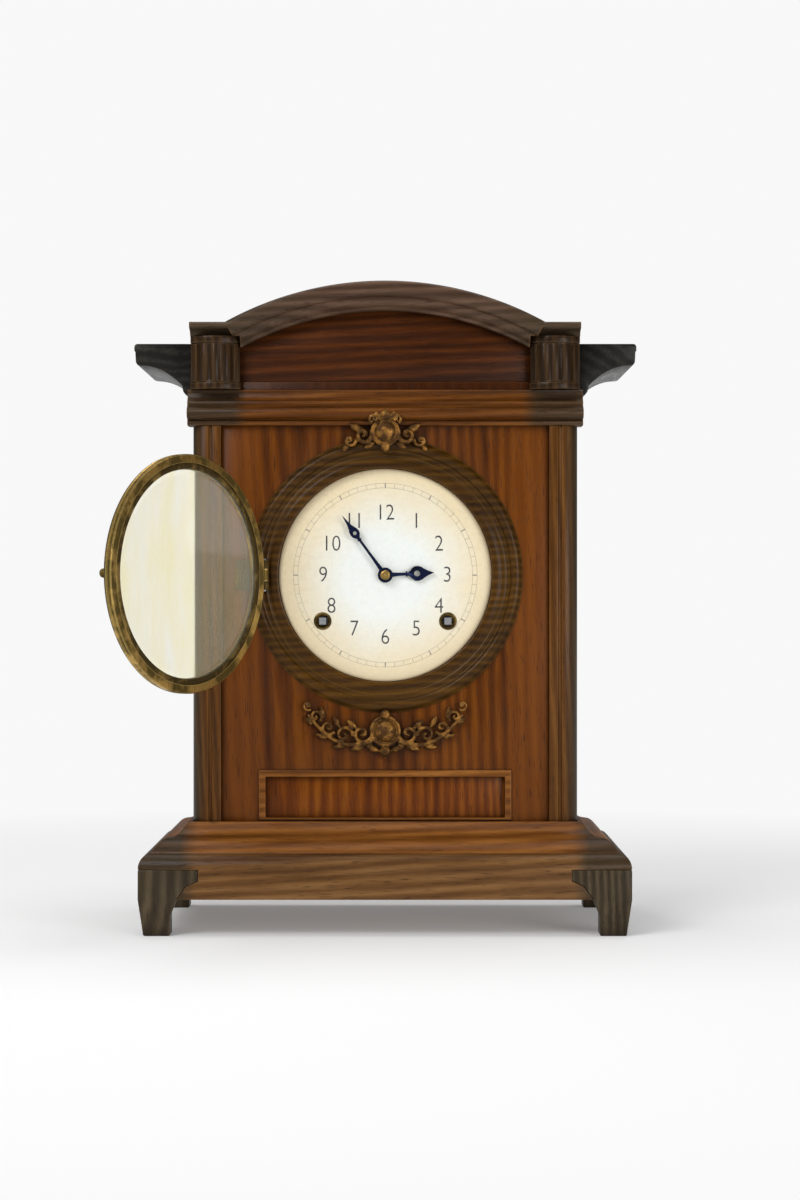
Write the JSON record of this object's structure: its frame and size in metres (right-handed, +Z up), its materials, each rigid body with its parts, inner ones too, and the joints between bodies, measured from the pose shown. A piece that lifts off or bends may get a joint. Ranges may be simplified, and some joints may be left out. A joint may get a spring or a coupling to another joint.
{
  "type": "mantel clock",
  "caption": "Wooden mantel clock with an arched top, a hinged round glazed bezel, spade hands, a gear train with a pendulum, and a gong with its hammer behind a back door.",
  "frame": {"origin": "on the shelf, midway between the four feet", "axes": "+Z up; the dial looks towards -Y; +X is to the right as seen from the front"},
  "size_m": [0.3151, 0.2512, 0.394],
  "materials": {
    "walnut_body": "satin varnish",
    "walnut_post": "satin varnish",
    "walnut_roof": "satin varnish",
    "walnut_base": "satin varnish",
    "dark_wood": "dull dark stain",
    "plain_wood": "unfinished",
    "dial_surround": "dark satin varnish",
    "dial_enamel": "satin cream",
    "gilt": "aged dull gilt",
    "bezel_brass": "aged polish",
    "clear_glass": "clear",
    "dark_steel": "blued",
    "movement_brass": "satin",
    "bright_steel": "satin",
    "gong_steel": "blued",
    "gong_iron": "painted black"
  },
  "bodies": {
    "case": {"front_board": "walnut_body", "left_side_board": "walnut_body", "right_side_board": "walnut_body", "pediment_board": "walnut_body", "lower_panel": "walnut_body", "cornice_molding": "walnut_body", "base_molding": "walnut_body", "left_pilaster": "walnut_post", "right_pilaster": "walnut_post", "corner_blocks": "walnut_post", "roof_board": "walnut_roof", "arch_molding": "walnut_roof", "base_apron": "walnut_base", "panel_molding": "walnut_base", "left_crown_molding": "dark_wood", "right_crown_molding": "dark_wood", "front_left_foot": "dark_wood", "front_right_foot": "dark_wood", "rear_feet": "dark_wood", "bottom_board": "plain_wood", "back_board": "plain_wood", "dial_ring": "dial_surround", "dial_disc": "dial_enamel", "crest_ornament": "gilt", "swag_ornament": "gilt", "bezel_hinge_leaf": "bezel_brass", "winding_grommets": "bezel_brass", "front_plate": "movement_brass", "back_plate": "movement_brass", "plate_pillars": "bright_steel", "movement_posts": "bright_steel", "mainsprings": "bright_steel", "bezel_hinge_pin": "bright_steel", "door_hinge_pins": "bright_steel", "gong_coil": "gong_steel", "gong_stand": "gong_iron"},
    "bezel": {"bezel_ring": "bezel_brass", "bezel_glass": "clear_glass", "glass_retainer": "bezel_brass"},
    "hour_works": {"hour_wheel": "movement_brass", "hour_hand": "dark_steel"},
    "centre_works": {"centre_wheel": "movement_brass", "cannon_pinion": "movement_brass", "minute_hand": "dark_steel", "hand_nut": "bezel_brass"},
    "minute_works": {"minute_wheel": "movement_brass"},
    "time_barrel": {"time_great_wheel": "movement_brass"},
    "time_winder": {"time_winding_arbor": "bright_steel"},
    "strike_barrel": {"strike_great_wheel": "movement_brass"},
    "strike_winder": {"strike_winding_arbor": "bright_steel"},
    "second_works": {"second_wheel": "movement_brass"},
    "third_works": {"third_wheel": "movement_brass"},
    "escape_works": {"escape_wheel": "movement_brass"},
    "verge_works": {"verge": "bright_steel"},
    "pendulum": {"pendulum_rod": "bright_steel", "pendulum_bob": "movement_brass", "rating_nut": "movement_brass"},
    "gong_hammer": {"hammer": "movement_brass"},
    "service_door": {"back_door": "plain_wood"},
    "door_catch": {"door_button": "bright_steel"}
  },
  "joints": [
    {"name": "bezel_hinge", "type": "hinge", "parent": "case", "child": "bezel", "pos_m": [-0.0735, -0.0485, 0.216], "axis": [0, 0, -1], "range_deg": [-125, 12]},
    {"name": "minute_hand_turn", "type": "hinge", "parent": "case", "child": "centre_works", "pos_m": [0, 0, 0.216], "axis": [0, 1, 0], "continuous": true},
    {"name": "hour_hand_turn", "type": "hinge", "parent": "case", "child": "hour_works", "pos_m": [0, 0, 0.216], "axis": [0, 1, 0], "continuous": true},
    {"name": "minute_wheel_turn", "type": "hinge", "parent": "case", "child": "minute_works", "pos_m": [-0.0099, 0, 0.2061], "axis": [0, 1, 0], "continuous": true},
    {"name": "time_great_wheel_turn", "type": "hinge", "parent": "case", "child": "time_barrel", "pos_m": [0.0383, 0, 0.1879], "axis": [0, 1, 0], "continuous": true},
    {"name": "second_wheel_turn", "type": "hinge", "parent": "case", "child": "second_works", "pos_m": [0.0231, 0, 0.2225], "axis": [0, 1, 0], "continuous": true},
    {"name": "third_wheel_turn", "type": "hinge", "parent": "case", "child": "third_works", "pos_m": [-0.011, 0, 0.23505], "axis": [0, 1, 0], "continuous": true},
    {"name": "escape_wheel_turn", "type": "hinge", "parent": "case", "child": "escape_works", "pos_m": [0, 0, 0.24879], "axis": [0, 1, 0], "continuous": true},
    {"name": "time_winding", "type": "hinge", "parent": "time_barrel", "child": "time_winder", "pos_m": [0.0383, 0, 0.1879], "axis": [0, 1, 0], "continuous": true},
    {"name": "strike_great_wheel_turn", "type": "hinge", "parent": "case", "child": "strike_barrel", "pos_m": [-0.0383, 0, 0.1879], "axis": [0, 1, 0], "continuous": true},
    {"name": "strike_winding", "type": "hinge", "parent": "strike_barrel", "child": "strike_winder", "pos_m": [-0.0383, 0, 0.1879], "axis": [0, 1, 0], "continuous": true},
    {"name": "pendulum_swing", "type": "hinge", "parent": "case", "child": "pendulum", "pos_m": [0, 0.029, 0.268], "axis": [0, 1, 0], "range_deg": [-3, 3]},
    {"name": "verge_rock", "type": "hinge", "parent": "case", "child": "verge_works", "pos_m": [0, 0, 0.268], "axis": [0, 1, 0], "range_deg": [-3, 3]},
    {"name": "hammer_lift", "type": "hinge", "parent": "case", "child": "gong_hammer", "pos_m": [-0.064, 0, 0.222], "axis": [0, 1, 0], "range_deg": [0, 12], "stiffness_Nm_per_rad": 0.02, "springref_deg": -28.65},
    {"name": "back_door_hinge", "type": "hinge", "parent": "case", "child": "service_door", "pos_m": [0.0557, 0.076, 0.188], "axis": [0, 0, -1], "range_deg": [0, 90]},
    {"name": "door_button_turn", "type": "hinge", "parent": "case", "child": "door_catch", "pos_m": [-0.067, 0.08, 0.188], "axis": [0, 1, 0], "range_deg": [0, 90]}
  ],
  "couplings": [
    {"joint": "hour_hand_turn", "follows": "minute_hand_turn", "ratio": 0.083333},
    {"joint": "minute_wheel_turn", "follows": "minute_hand_turn", "ratio": -0.33333},
    {"joint": "second_wheel_turn", "follows": "minute_hand_turn", "ratio": -0.5},
    {"joint": "time_great_wheel_turn", "follows": "minute_hand_turn", "ratio": 0.083333},
    {"joint": "third_wheel_turn", "follows": "minute_hand_turn", "ratio": -10},
    {"joint": "escape_wheel_turn", "follows": "minute_hand_turn", "ratio": 100},
    {"joint": "verge_rock", "follows": "pendulum_swing", "ratio": 1}
  ]
}
